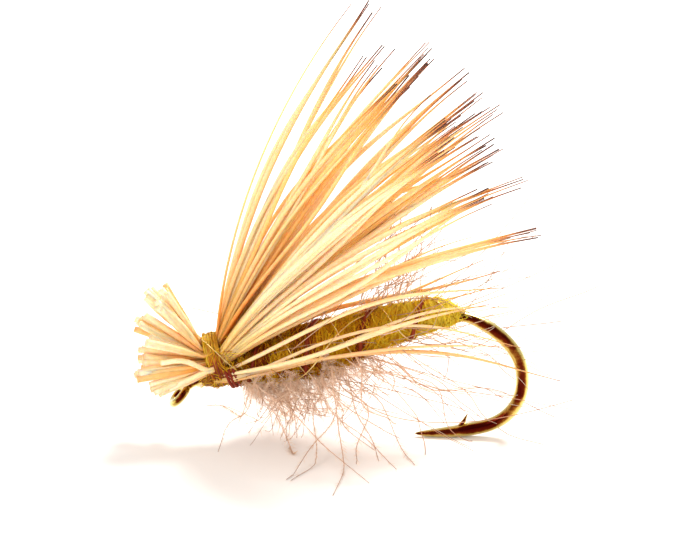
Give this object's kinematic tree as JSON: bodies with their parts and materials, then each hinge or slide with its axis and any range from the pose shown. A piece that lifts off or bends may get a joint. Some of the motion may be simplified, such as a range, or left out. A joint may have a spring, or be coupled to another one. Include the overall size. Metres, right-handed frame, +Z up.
{
  "type": "dry fly",
  "caption": "Hair-wing dry fly: forged down-eye hook, dubbed body with palmered hackle and wire rib, swept-up hair wing and clipped forward butts.",
  "frame": {"origin": "on the ground the fly stands on, under the middle of its length, in the plane of the hook", "axes": "+Z up as the fly stands on its spear and hackle tips, +X from the eye towards the bend, +Y across the hook, to the left when looking from the eye towards the bend"},
  "size_m": [0.0186, 0.0123, 0.0198],
  "materials": {
    "bronzed_wire": "polished",
    "olive_thread": "satin",
    "mustard_fur": "matte",
    "mauve_feather": "matte",
    "gold_wire": "polished",
    "pale_hair": "satin",
    "cream_butt": "satin"
  },
  "bodies": {
    "dressed_hook": {"butt_lock_11": "cream_butt", "butt_lock_12": "cream_butt", "butt_lock_13": "cream_butt", "butt_lock_21": "cream_butt", "butt_lock_22": "cream_butt", "butt_lock_23": "cream_butt", "butt_lock_24": "cream_butt", "butt_lock_31": "cream_butt", "butt_lock_32": "cream_butt", "butt_lock_33": "cream_butt", "butt_lock_34": "cream_butt", "butt_lock_41": "cream_butt", "butt_lock_42": "cream_butt", "dubbed_body": "mustard_fur", "hair_pinch": "pale_hair", "hook": "bronzed_wire", "palmered_hackle": "mauve_feather", "rib_wire": "gold_wire", "side_hair_far_lower": "pale_hair", "side_hair_far_upper": "pale_hair", "side_hair_near_lower": "pale_hair", "side_hair_near_upper": "pale_hair", "thread_collar": "olive_thread", "thread_underbody": "olive_thread", "whip_finish": "olive_thread", "wing_lower_lock_51": "pale_hair", "wing_lower_lock_52": "pale_hair", "wing_lower_lock_53": "pale_hair"},
    "wing_upper": {"wing_stray_hair": "pale_hair", "wing_upper_lock_11": "pale_hair", "wing_upper_lock_12": "pale_hair", "wing_upper_lock_13": "pale_hair", "wing_upper_lock_21": "pale_hair", "wing_upper_lock_22": "pale_hair", "wing_upper_lock_23": "pale_hair", "wing_upper_lock_24": "pale_hair"},
    "wing_middle": {"wing_middle_lock_31": "pale_hair", "wing_middle_lock_32": "pale_hair", "wing_middle_lock_33": "pale_hair", "wing_middle_lock_34": "pale_hair", "wing_middle_lock_41": "pale_hair", "wing_middle_lock_42": "pale_hair", "wing_middle_lock_43": "pale_hair", "wing_middle_lock_44": "pale_hair"}
  },
  "joints": [
    {"name": "wing_upper_flex", "type": "hinge", "parent": "dressed_hook", "child": "wing_upper", "pos_m": [-0.0055, 0, 0.00396], "axis": [0, 1, 0], "range_deg": [-6, 14], "stiffness_Nm_per_rad": 0.000015},
    {"name": "wing_middle_flex", "type": "hinge", "parent": "dressed_hook", "child": "wing_middle", "pos_m": [-0.0055, 0, 0.00396], "axis": [0, 1, 0], "range_deg": [-3, 7], "stiffness_Nm_per_rad": 0.000015}
  ],
  "couplings": [
    {"joint": "wing_middle_flex", "follows": "wing_upper_flex", "ratio": 0.5}
  ]
}
